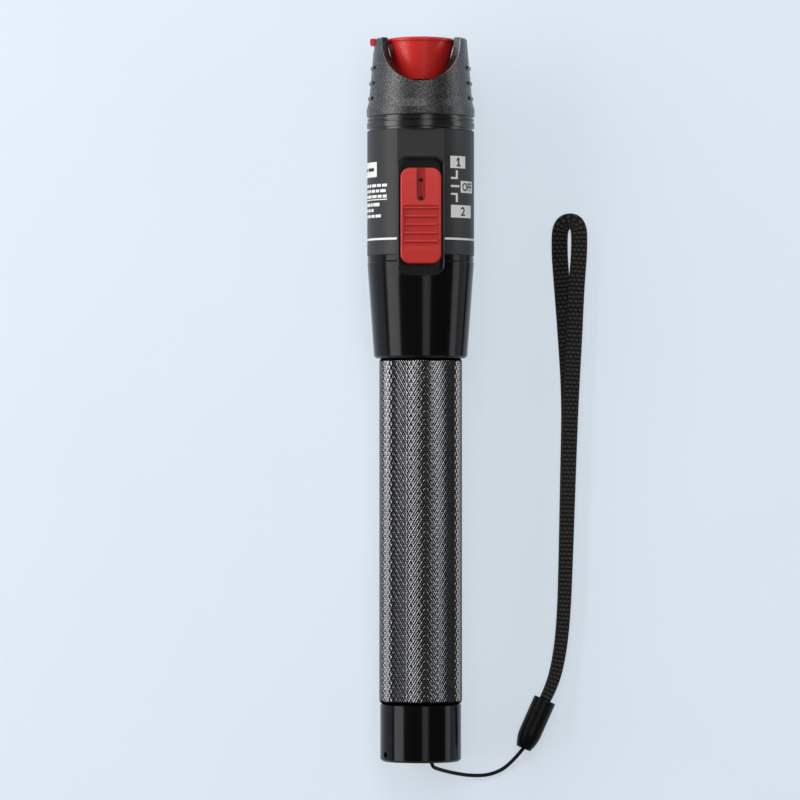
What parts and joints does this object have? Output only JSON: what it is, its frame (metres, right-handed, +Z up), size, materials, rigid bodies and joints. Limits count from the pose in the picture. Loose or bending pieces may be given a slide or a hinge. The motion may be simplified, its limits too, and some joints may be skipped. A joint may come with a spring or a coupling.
{
  "type": "visual fault locator pen",
  "caption": "Pen-shaped visual fault locator with a thumb slider, knurled tube, hinged dust cap over its fibre port and a wrist lanyard, lying down.",
  "frame": {"origin": "centre of the pen's footprint, on the surface that it lies on", "axes": "+Y towards the nose, +Z up, the way the slider faces; the pen's own axis rises 1.49 degrees towards the nose"},
  "size_m": [0.0535, 0.1785, 0.0268],
  "materials": {
    "tail_metal": "gloss black anodised",
    "tube_metal": "knurled, dark anodised",
    "collar_gloss": "gloss black anodised",
    "ring_gloss": "satin black anodised",
    "housing_black": "satin black label film over moulded plastic",
    "nose_black": "fine matt moulded",
    "cap_red": "satin moulded, red",
    "slider_red": "satin moulded, red",
    "track_grey": "smooth dark grey",
    "seal_rubber": "moulded",
    "contact_metal": "plated spring wire",
    "pin_steel": "drawn wire",
    "port_steel": "turned, nickel plated",
    "switch_steel": "pressed tin plate",
    "brass_parts": "turned",
    "diode_gold": "gold plated can",
    "sleeve_ceramic": "polished white ceramic",
    "lens_glass": "polished",
    "board_green": "solder mask over glass fibre",
    "chip_black": "moulded",
    "stem_black": "moulded",
    "carrier_black": "moulded",
    "cell_jacket": "plain jacket",
    "string_black": "braided cord",
    "bead_black": "moulded",
    "strap_weave": "flat woven tape"
  },
  "bodies": {
    "pen": {"battery_tube": "tube_metal", "battery_rear": "cell_jacket", "battery_front": "cell_jacket", "collar": "collar_gloss", "switch_housing": "housing_black", "neck_ring": "ring_gloss", "nose_guard": "nose_black", "hinge_pin": "pin_steel", "connector_port": "port_steel", "aperture_ring": "brass_parts", "port_nut": "port_steel", "ceramic_sleeve": "sleeve_ceramic", "focusing_lens": "lens_glass", "lens_ring": "brass_parts", "laser_holder": "brass_parts", "laser_diode": "diode_gold", "circuit_board": "board_green", "driver_chip": "chip_black", "drive_coil": "chip_black", "slide_switch": "switch_steel", "slider_track": "track_grey", "contact_carrier": "carrier_black", "front_contact": "brass_parts"},
    "slider": {"slider_button": "slider_red", "switch_stem": "stem_black"},
    "cap": {"dust_cap": "cap_red"},
    "seal": {"tail_seal": "seal_rubber"},
    "tail": {"tail_cap": "tail_metal", "tail_spring": "contact_metal", "lanyard_string": "string_black", "lanyard_bead": "bead_black", "lanyard_strap": "strap_weave"}
  },
  "joints": [
    {"name": "slider_travel", "type": "slide", "parent": "pen", "child": "slider", "axis": [0, 0.9997, 0.026], "range_m": [-0.002, 0.002]},
    {"name": "cap_hinge", "type": "hinge", "parent": "pen", "child": "cap", "pos_m": [-0.01024, 0.08597, 0.01422], "axis": [0, -0.026, 0.9997], "range_deg": [0, 175]},
    {"name": "tail_travel", "type": "slide", "parent": "pen", "child": "seal", "axis": [0, -0.9997, -0.026], "range_m": [0, 0.008]},
    {"name": "tail_turn", "type": "hinge", "parent": "seal", "child": "tail", "pos_m": [0, -0.08687, 0.00973], "axis": [0, -0.9997, -0.026], "range_deg": [0, 2880]}
  ],
  "couplings": [
    {"joint": "tail_travel", "follows": "tail_turn", "m_per_rad": 0.00015915}
  ]
}
